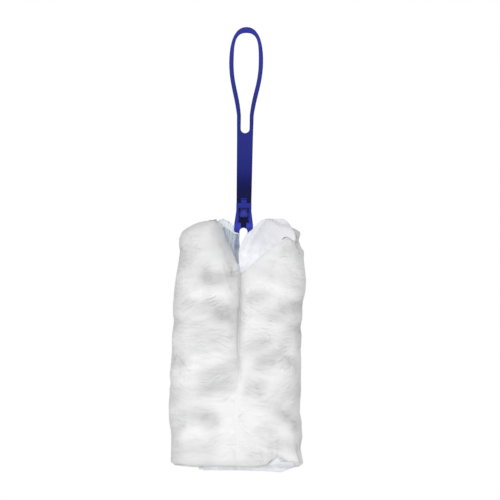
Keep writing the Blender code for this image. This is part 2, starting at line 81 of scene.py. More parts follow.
def moulded_polypropylene(name, painted_light_bands, deep, recess_depths, recess_heights):
    """Blue polypropylene from a satin tool. Its colour is given by height, in bands of painted light and
    shade.

    The deep colour, painted shade in the hinge's recesses, comes in from the first to the second of
    recess_depths, and of recess_heights.
    """
    material, tree, shader = new_material(name, {"IOR": 1.49, "Specular IOR Level": 0.06})
    place = add_node(tree, "ShaderNodeTexCoord").outputs["Object"]
    axes = add_node(tree, "ShaderNodeSeparateXYZ", {"Vector": place})
    # Painted light and shade by height: darker where a face turns down from the light, paler where highlights
    # fall
    lowest = painted_light_bands[0][0]
    highest = painted_light_bands[-1][0]
    height = add_node(
        tree, "ShaderNodeMapRange", {"Value": axes.outputs["Z"], "From Min": lowest, "From Max": highest}
    )
    ramp = add_node(tree, "ShaderNodeValToRGB", {"Fac": height.outputs["Result"]})
    stops = ramp.color_ramp.elements
    while len(stops) < len(painted_light_bands):
        stops.new(0.5)
    for stop, (z, code) in zip(stops, painted_light_bands):
        stop.position = (z - lowest) / (highest - lowest)
        stop.color = srgb(code)
    # Flow marks about 2 mm wide and 12 mm long
    stretched = add_node(tree, "ShaderNodeMapping", {"Vector": place, "Scale": (500, 500, 80)})
    noise = add_node(
        tree, "ShaderNodeTexNoise", {"Vector": stretched.outputs[0], "Scale": 1.0, "Detail": 3.0}
    )
    streaks = noise.outputs["Fac"]
    tint = add_node(tree, "ShaderNodeMapRange", {"Value": streaks, "To Min": 0.85, "To Max": 1.15})
    mottled = add_node(
        tree,
        "ShaderNodeVectorMath",
        {0: ramp.outputs["Color"], 1: tint.outputs["Result"]},
        operation="MULTIPLY",
    )
    # Deeper colour in the shade of the hinge's recesses
    behind = add_node(
        tree,
        "ShaderNodeMapRange",
        {"Value": axes.outputs["Y"], "From Min": recess_depths[0], "From Max": recess_depths[1]},
        interpolation_type="SMOOTHSTEP",
    )
    level = add_node(
        tree,
        "ShaderNodeMapRange",
        {"Value": axes.outputs["Z"], "From Min": recess_heights[0], "From Max": recess_heights[1]},
    )
    recessed = add_node(
        tree,
        "ShaderNodeMath",
        {0: behind.outputs["Result"], 1: level.outputs["Result"]},
        operation="MULTIPLY",
    )
    shaded = mixed(tree, recessed.outputs[0], mottled.outputs[0], srgb(deep))
    tree.links.new(shaded, shader.inputs["Base Color"])
    rough = add_node(tree, "ShaderNodeMapRange", {"Value": streaks, "To Min": 0.3, "To Max": 0.42})
    tree.links.new(rough.outputs["Result"], shader.inputs["Roughness"])
    # Grain of the spark-eroded tool, 0.4 mm across
    grain = add_node(tree, "ShaderNodeTexNoise", {"Vector": place, "Scale": 2500.0, "Detail": 2.0})
    skin = add_node(
        tree, "ShaderNodeBump", {"Height": grain.outputs["Fac"], "Strength": 0.12, "Distance": 0.0001}
    )
    tree.links.new(skin.outputs["Normal"], shader.inputs["Normal"])
    return material


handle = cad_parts["handle"]
handle.data.materials.clear()
handle.data.materials.append(
    moulded_polypropylene(
        "polypropylene_satin_moulded_handle",
        # Painted shade down the scooped lower shaft, darkest just above the hub; paler at the hub and towards
        # the loop, as painted light
        (
            (-0.14, "3A409E"), (-0.1315, "353B98"), (-0.1295, "080B40"), (-0.118, "090C46"),
            (-0.109, "13185E"), (-0.101, "1C2272"), (-0.088, "212879"), (-0.05, "272E82"),
            (-0.01, "2E3590"), (0.005, "2E3590"),
        ),
        "060938",
        recess_depths=(-0.0009, 0.0002),
        recess_heights=(-0.128, -0.131),
    )
)

# Fork
# The second polypropylene moulding: ears round the hub, the thumb tab and crossbar, and two tines.
# It is moulded from the same blue, and its tines run inside the refill's sleeves.

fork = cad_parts["fork"]
fork.data.materials.clear()
fork.data.materials.append(
    moulded_polypropylene(
        "polypropylene_satin_moulded_fork",
        # Painted light and shade by height: a painted highlight on the lobes at the throat, darker at the tab
        # and crossbar
        (
            (-0.3, "3038A4"), (-0.152, "3038A4"), (-0.1485, "353CAC"), (-0.145, "4147BE"),
            (-0.1415, "2F36A0"), (-0.1345, "272D8C"), (-0.1305, "262C88"), (-0.127, "272D8C"),
            (-0.122, "20267C"),
        ),
        "050736",
        recess_depths=(-0.0024, -0.0008),
        recess_heights=(-0.1475, -0.1465),
    )
)

# Back sheet
# Bonded fibre sheet, the bare back of the refill: thermally point-bonded polypropylene fleece, sheer
# and slightly blue. Rows of weld dots hold it to the sleeve sheet beside each tine and down the seam.

mm = 0.001
seam = -2.0
sheet_left = -31.0
sheet_right = 34.0
sheet_bottom = 328.5
sheet_middle = 1.85
sheet_thickness = 0.3
sheet_rows = 250
weld_lines = (-14.0, -1.2, 1.2, 14.0)
weld_pitch = 3.2
weld_radius = 1.0
# Where the hem fades, in from an edge, and where the folds and the weld dots begin, on the way down
hem_fade = (0.5, 1.6)
folds_begin = (154, 166)
weld_begin = (165, 168)
lattice_size = 64
lattice = np.random.default_rng(11).uniform(-1, 1, (lattice_size, lattice_size))


def soft_noise(across, along, layer=0.0):
    """Smooth noise from -1 to 1 on a plane, with features about 1 wide. layer picks another pattern."""
    a = np.asarray(across, float) + 7.3 * layer
    b = np.asarray(along, float) + 3.9 * layer
    low_a = np.floor(a).astype(int)
    low_b = np.floor(b).astype(int)
    s = a - low_a
    t = b - low_b
    s = s * s * (3 - 2 * s)
    t = t * t * (3 - 2 * t)
    corners = [
        lattice[(low_a + i) % lattice_size, (low_b + j) % lattice_size] for i in (0, 1) for j in (0, 1)
    ]
    return (corners[0] * (1 - t) + corners[1] * t) * (1 - s) + (corners[2] * (1 - t) + corners[3] * t) * s


def rise(value, start, end):
    """0 before start, 1 after end and a smooth rise between them."""
    t = np.clip((np.asarray(value, float) - start) / (end - start), 0, 1)
    return t * t * (3 - 2 * t)


def along_table(pairs, value):
    """The second numbers of pairs, read where the first ones reach value."""
    return np.interp(value, [p[0] for p in pairs], [p[1] for p in pairs])


def weld_dents(x, drop, depth):
    """How deep the weld dots press the sheet along each weld line."""
    dents = np.zeros_like(x)
    for line in weld_lines:
        side = (x - line) / weld_radius
        step = (drop % weld_pitch - weld_pitch / 2) / weld_radius
        dents = np.maximum(dents, depth * np.exp(-(side**2 + step**2)))
    return dents * rise(drop, *weld_begin)


def mark_points(item, name, values):
    """Gives each point of a mesh a value from 0 to 1, which its material reads by name."""
    marks = item.data.attributes.new(name, "FLOAT", "POINT")
    marks.data.foreach_set("value", np.clip(values, 0, 1).astype(np.float32).ravel())


def flat_grid(name, columns, rows):
    """A flat grid, and the places of its points, which run from -1 to 1 across and up."""
    bpy.ops.mesh.primitive_grid_add(x_subdivisions=columns, y_subdivisions=rows, size=2)
    sheet = bpy.context.object
    sheet.name = name
    flat = np.empty(len(sheet.data.vertices) * 3, np.float32)
    sheet.data.vertices.foreach_get("co", flat)
    return sheet, flat.reshape(-1, 3)


def shape_sheet(sheet, place, marks, thickness):
    """Moves a grid's points to their x, y and z in mm, marks its dense parts and its painted light and shade,
    and thickens it.
    """
    sheet.data.vertices.foreach_set("co", (np.stack(place, axis=1) * mm).astype(np.float32).ravel())
    mark_points(sheet, "hem_and_painted_light", marks)
    sheet.data.update()
    bpy.ops.object.mode_set(mode="EDIT")
    bpy.ops.mesh.select_all(action="SELECT")
    bpy.ops.mesh.normals_make_consistent(inside=False)
    bpy.ops.object.mode_set(mode="OBJECT")
    thicken = sheet.modifiers.new("thickness", "SOLIDIFY")
    thicken.thickness = thickness * mm
    thicken.offset = 0
    bpy.ops.object.modifier_apply(modifier="thickness")
    bpy.ops.object.shade_smooth()
    sheet.select_set(False)


def plain_sheet(name, columns, top_edge, bottom_at, place_at, closed=0.0):
    """A back or sleeve sheet. place_at gives x, y and z from the cut's own x and drop, all in mm.

    closed is how solid it looks below folds_begin, where it lies in many folds.
    """
    sheet, flat = flat_grid(name, columns, sheet_rows)
    share = (1 - flat[:, 1]) / 2
    x = sheet_left + (sheet_right - sheet_left) * (flat[:, 0] + 1) / 2
    top = along_table(top_edge, x)
    drop = top + (bottom_at(x) - top) * share
    # The fused cut edge at the top and bottom is denser and bluer, and so are the weld dots; both are also
    # painted paler, as painted light against the shade under the fluff
    fused = 1 - rise(np.minimum(drop - top, bottom_at(x) - drop), *hem_fade)
    marks = np.maximum(np.maximum(fused, weld_dents(x, drop, 1.0)), closed * rise(drop, *folds_begin))
    shape_sheet(sheet, place_at(x, drop), marks, sheet_thickness)
    return sheet


def bonded_fleece(name, light, dark, hem_and_painted_light_colour, sheer):
    """Point-bonded fleece: pressed diamonds 2 mm apart, and cloudy fibre between them.

    sheer gives how solid it is where the fibre is thinnest and where it is thickest.
    """
    material, tree, shader = new_material(name, {"Roughness": 0.62, "IOR": 1.45, "Sheen Weight": 0.15})
    place = add_node(tree, "ShaderNodeTexCoord").outputs["Object"]
    # The bond pattern lies on the sheet's own plane, turned so that the points make diamonds
    turned = add_node(
        tree,
        "ShaderNodeMapping",
        {"Vector": place, "Rotation": (0, math.pi / 4, 0), "Scale": (500, 500, 500)},
    )
    dots = add_node(
        tree,
        "ShaderNodeTexVoronoi",
        {"Vector": turned.outputs[0], "Scale": 1.0, "Randomness": 0.12},
        voronoi_dimensions="3D",
    )
    bonds = add_node(
        tree, "ShaderNodeMapRange", {"Value": dots.outputs["Distance"], "From Min": 0.18, "From Max": 0.34}
    )
    noise = add_node(tree, "ShaderNodeTexNoise", {"Vector": place, "Scale": 220.0, "Detail": 3.0})
    clouds = noise.outputs["Fac"]
    colour = mixed(tree, clouds, srgb(dark), srgb(light))
    # The hem mark sets the colour: paler as painted light on the back and sleeve sheets, greyer as painted
    # shade on the strip, and denser where fused
    hem_and_painted_light = add_node(tree, "ShaderNodeAttribute", attribute_name="hem_and_painted_light").outputs["Fac"]
    tree.links.new(mixed(tree, hem_and_painted_light, colour, srgb(hem_and_painted_light_colour)), shader.inputs["Base Color"])
    solid = add_node(
        tree,
        "ShaderNodeMapRange",
        {"Value": clouds, "From Min": 0.3, "From Max": 0.7, "To Min": sheer[0], "To Max": sheer[1]},
    )
    closed = add_node(tree, "ShaderNodeMath", {0: solid.outputs["Result"], 1: hem_and_painted_light}, operation="MAXIMUM")
    tree.links.new(closed.outputs[0], shader.inputs["Alpha"])
    # Web of single fibres, 0.5 mm apart, under the bond pattern
    web = add_node(tree, "ShaderNodeTexNoise", {"Vector": place, "Scale": 1900.0, "Detail": 3.0})
    relief = add_node(
        tree,
        "ShaderNodeMath",
        {0: web.outputs["Fac"], 1: 0.4, 2: bonds.outputs["Result"]},
        operation="MULTIPLY_ADD",
    )
    pressed = add_node(
        tree, "ShaderNodeBump", {"Height": relief.outputs[0], "Strength": 0.35, "Distance": 0.00025}
    )
    tree.links.new(pressed.outputs["Normal"], shader.inputs["Normal"])
    return material


# The notch lets the fork's throat show, and the mouths stand at the tines
back_top = (
    (-31, 145.5), (-24, 144.8), (-14, 145.6), (-9, 149), (-6.4, 151.5), (-3.1, 152),
    (-2.9, 160), (-2.2, 165), (-1, 160), (2.4, 151.5), (9, 150), (14, 146), (24, 144.8), (34, 146),
)


def back_place(x, drop):
    wrinkle = 0.35 * soft_noise(x / 11, drop / 30, 1) + 0.12 * soft_noise(x / 3, drop / 9, 2)
    loose = rise(np.abs(x), 14, 20)
    y = sheet_middle + wrinkle * loose + 0.1 * wrinkle - weld_dents(x, drop, 0.3)
    return x, y, -drop


back_sheet = plain_sheet(
    "refill_back_sheet",
    100,
    back_top,
    lambda x: sheet_bottom - 0.5 * rise(np.abs(x), 20, 34) + 0.25 * soft_noise(x / 5, x * 0, 3),
    back_place,
)
sheet_material = bonded_fleece("polypropylene_point_bonded_fleece", "F7F9FC", "EEF2F7", "FAFCFF", (0.7, 0.86))
back_sheet.data.materials.append(sheet_material)
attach(back_sheet, "refill")
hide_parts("back_sheet")

# Sleeve sheet
# The second fleece sheet, welded to the back one beside each tine so that the two make sleeves.
# Its loose top puffs up beside the left tine in pleats, and the tine shows through.

sleeve_inner = 2.4
sleeve_outer = 12.8
sleeve_front = -1.85
sleeve_rear = 1.2
pleat_middle = -12.2
pleat_pitch = 4.6
pleat_lean = 0.16
pleat_puff = 2.2
pleat_depth = 3.4
sleeve_top = (
    (-31, 146), (-24, 144), (-19, 141.8), (-17.5, 140), (-15.2, 139.6), (-12.2, 140.9),
    (-9.1, 143.2), (-7.6, 144.6), (-6.9, 149.5), (-3.1, 150.3), (-2.9, 159), (-2.2, 164.5),
    (-1, 160), (2.4, 151.8), (9, 150), (14, 147), (24, 146), (34, 147),
)


def sleeve_place(x, drop):
    from_inner = np.abs(x) - sleeve_inner
    to_outer = sleeve_outer - np.abs(x)
    over_tine = rise(np.minimum(from_inner, to_outer), -1.4, 0.4) * (1 - rise(drop, 298, 307))
    y = sleeve_rear + (sleeve_front - sleeve_rear) * over_tine
    wrinkle = 0.3 * soft_noise(x / 9, drop / 26, 4) + 0.12 * soft_noise(x / 2.5, drop / 8, 5)
    y = y + wrinkle * np.where(over_tine > 0.5, 0.3, 1.0) * rise(np.abs(x), sleeve_inner, 8)
    # Pleats puffed up at the top left, deepest at the mouth and gone by the V's foot
    left = rise(-x, 3.2, 9) * (1 - rise(-x, 17.5, 24)) * (1 - rise(drop, 150, 176))
    fold = 0.5 + 0.5 * np.cos((x - pleat_middle + pleat_lean * (drop - 140)) * 2 * math.pi / pleat_pitch)
    y = y - left * (pleat_puff + pleat_depth * fold + 0.8 * soft_noise(x / 3, drop / 12, 6))
    y = y + 0.22 * weld_dents(x, drop, 1.0)
    return x, y, -drop


sleeve_sheet = plain_sheet(
    "refill_sleeve_sheet",
    130,
    sleeve_top,
    lambda x: sheet_bottom - 0.9 - 0.6 * rise(np.abs(x), 18, 34) + 0.3 * soft_noise(x / 6, x * 0, 7),
    sleeve_place,
    closed=0.5,
)
sleeve_material = bonded_fleece("polypropylene_fleece_sheer", "DDE8EF", "C4D6E2", "F0F4FB", (0.22, 0.42))
sleeve_sheet.data.materials.append(sleeve_material)
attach(sleeve_sheet, "refill")
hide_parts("sleeve_sheet")

# Tow layers
# Five bundles of crimped polyester and polyolefin fibre, each laid across the sheets, welded to them
# down the seam and blown open. Each is a fan of soft tufts, matt and almost white, on both sides.

tow_top = 139.6
tow_bottom = 326.0
lobe_depth = 27.0
lobe_width = 48.0
# The crest of a lobe's front and its widest place, as shares of its width and its depth
lobe_middle = 0.52
lobe_height = 0.4
back_bulge = 3.0
inner_gap = 0.03
inner_power = 2.6
tow_step = 1.15
row_step = 1.35
seam_start = 2.6
web_pitch = 1.1
web_thickness = 0.8
lap_steps = 6
bed_start = 4.9
bed_end = 22.3
bed_reach = 41.3
bed_gap = 0.7
# The strip lies on the bed layer, in a fold between it and the next
bed_layer = 1
front_layer = 4
# Turns in degrees round a lobe between which each layer shows, and their levels at the weld
layer_turns = (-90, 8, 45, 84, 124, 180)
layer_steps = (0, 1, 3, 4, 5)
# The turns at which a lobe begins, at its back edge, and ends, in the cleft, and the last one shown
back_edge_turns = {-1: -74, 1: -66}
cleft_turn = 176
groove_turn = 171.0
# The weld's half width, the steps from there to the fluff's surface, and how deep these and laps sink
weld_side = 0.6
fold_steps = 9
fold_sink = 5.0
lap_sink = 0.05
cleft_dip = 0.6

# Half width from the seam down the refill, measured on the photo's outline
left_widths = (
    (140, 47.4), (160, 47.6), (164, 46.9), (169, 47.5), (184, 48.8), (196, 50.1), (212, 50.8), (217, 50.0),
    (226, 50.6), (234, 50.7), (242, 51.5), (257, 52.2), (263, 51.3), (268, 52.6), (280, 52.7), (297, 50.9),
    (304, 50.7), (310, 50.7), (326, 49.2),
)
right_widths = (
    (140, 44.0), (150, 44.8), (155, 43.0), (160, 44.8), (163, 47.0), (169, 47.0), (184, 48.8), (193, 49.0),
    (213, 48.4), (220, 47.0), (226, 48.0), (237, 46.7), (248, 46.8), (268, 47.2), (283, 46.4), (291, 48.2),
    (296, 48.4), (301, 49.0), (310, 47.7), (322, 49.4), (326, 48.7),
)
# How far the layers' corners draw in, by distance from their top and bottom edges
left_corner_shares = (
    (0, 0.5), (0.5, 0.58), (1.3, 0.66), (3, 0.745), (5, 0.815), (7.2, 0.885), (9.5, 0.935), (14, 0.975),
    (21, 1),
)
right_corner_shares = ((0, 0.66), (0.6, 0.74), (1.6, 0.84), (3.6, 0.93), (5, 0.985), (12, 1))
top_depth_shares = (
    (0, 0.15), (0.5, 0.28), (1.5, 0.42), (3.5, 0.58), (7, 0.72), (13, 0.84), (25, 0.95), (40, 1)
)
thin_top_shares = ((0, 0.06), (1, 0.14), (3, 0.24), (8, 0.45), (16, 0.75), (28, 0.94), (40, 1))
thin_bottom_shares = ((0, 0.06), (1, 0.15), (3, 0.27), (8, 0.5), (16, 0.8), (26, 1))
bottom_width_shares = ((0, 0.95), (0.8, 0.985), (2, 1))
bottom_depth_shares = ((0, 0.2), (0.5, 0.4), (1.5, 0.6), (5, 0.8), (12, 0.94), (22, 1))
# Where the top and bottom edges lie, by distance from the seam
left_top = (
    (0, 175), (1, 174), (6, 168), (10.4, 156), (13.2, 148.5), (17, 143.6), (21.5, 141.2), (28, 140.8),
    (52, 141.5),
)
right_back_top = (
    (0, 178), (4, 168), (8, 158), (12, 150), (16, 144), (20, 140.5), (31, 139.8), (34, 141.7), (52, 144)
)
right_front_top = (
    (0, 181), (2, 180), (8.7, 173.5), (21.4, 162.5), (31, 156), (38, 152), (42, 150.5), (52, 152)
)
left_bottom = ((0, 324.6), (22, 324.2), (30, 324.8), (52, 323.4))
right_back_bottom = ((0, 324.6), (30, 324.6), (38, 324.6), (44, 323.8), (52, 322.8))
right_front_bottom = (
    (0, 324.6), (15, 324.6), (21.6, 323), (25.5, 319), (30, 316), (34, 317.5), (38, 320), (52, 321.2)
)

# Creases between the tufts, seen from the front: from across and drop, to across and drop, and depth
left_creases = (
    (50, 165, 30, 170, 1.6), (45, 177, 14, 187, 1.8), (27, 180, 7, 183, 2.8), (50, 199, 36, 197, 1.4),
    (34, 203, 3, 210, 2.4), (17, 211, 3, 212, 2.0), (51, 216, 22, 222, 2.0), (40, 237, 5, 228, 1.8),
    (51, 243, 38, 248, 1.6), (27, 256, 3, 250, 3.0), (24, 267, 4, 262, 2.6), (51, 271, 28, 268, 1.8),
    (36, 286, 6, 290, 2.0), (24, 289, 14, 291, 1.3), (51, 303, 40, 297, 1.6), (44, 313, 8, 308, 1.8),
)
right_creases = (
    (46, 160, 26, 168, 1.6), (44, 183, 14, 177, 1.5), (48, 203, 24, 208, 3.2), (20, 195, 3, 200, 1.8),
    (48, 221, 32, 226, 1.6), (24, 231, 5, 234, 2.6), (33, 238, 12, 248, 3.2), (47, 252, 36, 243, 1.8),
    (19, 262, 5, 266, 2.4), (46, 271, 22, 273, 1.4), (47, 293, 32, 284, 2.8), (28, 292, 10, 297, 1.6),
    (48, 309, 24, 305, 1.6),
)
crease_above = 8.0
crease_below = 12.0
# How shaded the fluff is: in a crease for each mm of depth, all over, by the seam and its lower
# part, in the cleft itself, on the flanks, near the top and at the right ear
crease_shade = 0.235
even_shade = 0.09
seam_shade = 0.55
low_seam_shade = -0.4
cleft_shade = 0.2
flank_shade = 0.38
top_shade = 0.42
ear_shade = 1.2


def contour_of(side):
    """Even points round one lobe from its back edge to the seam: across and forward, outward, girth, turn."""
    middle = lobe_width * lobe_middle
    height = lobe_depth * lobe_height
    fine = np.radians(np.linspace(back_edge_turns[side], cleft_turn, 4000))
    c = np.cos(fine)
    s = np.sin(fine)
    outer = fine <= math.pi / 2
    across = np.where(
        outer,
        middle + (lobe_width - middle) * c,
        middle - (middle - inner_gap) * np.abs(c) ** (2 / inner_power),
    )
    back = height + (height + back_bulge) * s
    front = height + (lobe_depth - height) * s
    inner = height + (lobe_depth - height) * np.abs(s) ** (2 / inner_power)
    forward = np.where(fine < 0, back, np.where(outer, front, inner))
    girth = np.concatenate([[0], np.cumsum(np.hypot(np.diff(across), np.diff(forward)))])
    count = int(girth[-1] / tow_step)
    even = np.linspace(0, girth[-1], count + 1)
    points = np.stack([np.interp(even, girth, across), np.interp(even, girth, forward)], axis=1)
    slope = np.gradient(points, axis=0)
    outward = np.stack([slope[:, 1], -slope[:, 0]], axis=1)
    outward /= np.linalg.norm(outward, axis=1)[:, None]
    turn = np.interp(even, girth, np.degrees(fine))
    return points, outward, even, turn


contours = {side: contour_of(side) for side in (-1, 1)}


def front_girth(side, across):
    """The girth, from the back edge, of a place on the front of a lobe."""
    points, _, girth, turn = contours[side]
    front = turn > 0
    return np.interp(-across, -points[front, 0], girth[front])


def tuft_relief(side, girth, drop):
    """How far the fluff stands proud, in soft tufts parted by creases, and the painted shade of the creases
    and of soft patches.
    """
    relief = np.zeros(np.broadcast(girth, drop).shape)
    shade = np.zeros_like(relief)
    for number, crease in enumerate(left_creases if side < 0 else right_creases):
        start, start_drop, end, end_drop, depth = crease
        first = front_girth(side, start)
        last = front_girth(side, end)
        way = (girth - first) / (last - first)
        line = start_drop + (end_drop - start_drop) * way
        line = line + 1.8 * soft_noise(girth / 12, number * 2.7, 8 + side)
        from_line = drop - line
        width = np.where(from_line < 0, crease_above, crease_below)
        shown = rise(way, -0.5, 0.35) * (1 - rise(way, 0.65, 1.5))
        dip = shown * np.exp(-((from_line / width) ** 2))
        relief -= depth * dip
        shade += crease_shade * depth * shown * np.exp(-((from_line / (0.62 * width)) ** 2))
    leaning = drop + 0.2 * girth
    relief += 0.9 * soft_noise(girth / 24, leaning / 21, 10 + side)
    wander = drop + 2.5 * soft_noise(girth / 15, drop / 12, 12 + side)
    relief += 0.18 * soft_noise(girth / 18, wander / 8.5, 14 + side)
    relief += 0.03 * soft_noise(girth / 12, wander / 3.4, 16 + side)
    shade += 0.18 * soft_noise(girth / 27, leaning / 9, 22 + side)
    shade += 0.14 * soft_noise(girth / 15, leaning / 3.6, 24 + side)
    return relief, shade


def edges_of(side, number):
    """The tables of the top and bottom edges of a layer on one side."""
    if side < 0:
        return left_top, left_bottom
    if number <= bed_layer:
        return right_back_top, right_back_bottom
    return right_front_top, right_front_bottom


def drawn_in(side, edges, across, drop):
    """How much wider or narrower a layer is than its plain section, and how much thinner, near its ends."""
    below = drop - along_table(edges[0], across)
    above = along_table(edges[1], across) - drop
    widths = left_widths if side < 0 else right_widths
    wide = along_table(widths, drop) / lobe_width
    top_shares = left_corner_shares if side < 0 else right_corner_shares
    corner = np.minimum(along_table(top_shares, below), along_table(bottom_width_shares, above))
    flank = rise(across / lobe_width, 0.3, 0.8)
    scale = (1 + (wide - 1) * rise(across, 5, 30)) * (1 - flank * (1 - corner))
    # The fluff thins out where it ends on another sheet or layer
    thin_top = 1.0 if edges[0] is right_front_top else 0.0
    if side < 0:
        thin_top = 0.9 * (1 - rise(across, 10, 26))
    thin_bottom = rise(across, 4, 19) if edges[1] is right_front_bottom else 0.0
    plain_top = along_table(top_depth_shares, below)
    plain_bottom = along_table(bottom_depth_shares, above)
    at_top = plain_top + (along_table(thin_top_shares, below) - plain_top) * thin_top
    at_bottom = plain_bottom + (along_table(thin_bottom_shares, above) - plain_bottom) * thin_bottom
    return scale, np.minimum(at_top, at_bottom)


def bed_level(across):
    """How far forward the front of the bed layer is, in the plain section."""
    return bed_start + (bed_end - bed_start) * np.clip(across / bed_reach, 0, 1)


def bed_place(side, across, drop):
    """The same where the bed layer's ends draw it in."""
    shallow = drawn_in(side, edges_of(side, bed_layer), across, drop)[1]
    base = seam_start + layer_steps[bed_layer] * web_pitch + web_thickness / 2
    return base + (bed_level(across) - base) * shallow


def placed(side, number, across, forward, girth, outward, share, swell, sunk):
    """Where a point of a layer's cross-section goes at a share of the way down, in mm, and its shade.

    swell is its share of the relief, and sunk is how far it lies below its neighbour.
    """
    edges = edges_of(side, number)
    base = seam_start + layer_steps[number] * web_pitch + web_thickness / 2
    top = along_table(edges[0], across)
    bottom = along_table(edges[1], across)
    drop = top + (bottom - top) * share
    below = drop - top
    above = bottom - drop
    relief, shade = tuft_relief(side, girth, drop)
    relief = swell * relief * rise(below, -2, 9) * rise(above, -2, 7)
    # The lobes press together over the seam, more so lower down
    packed = (0.1 + 0.85 * rise(drop, 205, 295)) * rise(forward, 9, 15) * (1 - rise(across, 10, 24))
    packed = packed * (swell >= 1)
    forward = forward + packed * (lobe_depth - cleft_dip - forward)
    # What lies under a neighbour is sunk below it, backwards and in the back layers inwards too
    sideways = relief - sunk * rise(across, 10, 22) if number <= bed_layer else relief
    upright = np.maximum(outward[..., 1], 0) if number <= bed_layer else 1.0
    across = across + outward[..., 0] * (1 - packed) * sideways * rise(across, 0, 4)
    forward = forward + (outward[..., 1] * (1 - packed) + packed) * relief - upright * sunk
    shallow = drawn_in(side, edges, across, drop)[1]
    scale = drawn_in(side, edges_of(side, bed_layer), across, drop)[0]
    if number <= bed_layer:
        forward = base + (forward - base) * shallow
    else:
        gap = bed_gap * (1 - rise(across, 26, bed_reach))
        forward = bed_place(side, across, drop) + gap + (forward - bed_level(across)) * shallow
    # Painted shade, deeper on the flanks, which turn from the light, and near the top
    flank_and_top_shade = flank_shade * rise(across, 35, 47) + top_shade * (1 - rise(drop, 152, 186 if side < 0 else 172))
    across = across * scale
    wander = 1.3 * soft_noise(drop / 15, forward / 14, 19) * (1 - rise(across, 2, 16)) * rise(below, 2, 20)
    # Less light gets down to the seam than out on the lobes, but for its packed lower part
    near_seam = (1 - rise(across, 0, 11 if side < 0 else 6)) * (1 - rise(drop, 215, 275))
    shade = np.maximum(shade + even_shade, 0) + seam_shade * near_seam + flank_and_top_shade * (1 - near_seam)
    shade = shade + low_seam_shade * rise(drop, 250, 300) * (1 - rise(across, 6, 22))
    shade = shade + cleft_shade * (1 - rise(across, 0, 1.6)) * (1 - rise(drop, 225, 270))
    if side > 0:
        shade = shade + ear_shade * rise(across, 36, 42) * (1 - rise(drop, 150, 160))
    return seam + side * across + wander, -forward, -drop, shade


def down_shares():
    """Shares of the way down at which a layer has rows: close together at the ends."""
    length = tow_bottom - tow_top
    ends = [0, 0.12, 0.4, 0.85, 1.4, 2.1, 3.0, 4.1, 5.4, 6.8, 8.3]
    middle = np.arange(ends[-1] + row_step, length - ends[-1] - row_step / 2, row_step)
    return np.concatenate([ends, middle, [length - e for e in reversed(ends)]]) / length


def linked_mesh(name, points, faces, shade):
    """A new mesh object with the shade of each point, active and selected."""
    mesh = bpy.data.meshes.new(name)
    mesh.from_pydata(points.tolist(), [], faces.tolist())
    item = bpy.data.objects.new(name, mesh)
    mark_points(item, "shade", shade)
    bpy.context.collection.objects.link(item)
    bpy.context.view_layer.objects.active = item
    item.select_set(True)
    return item


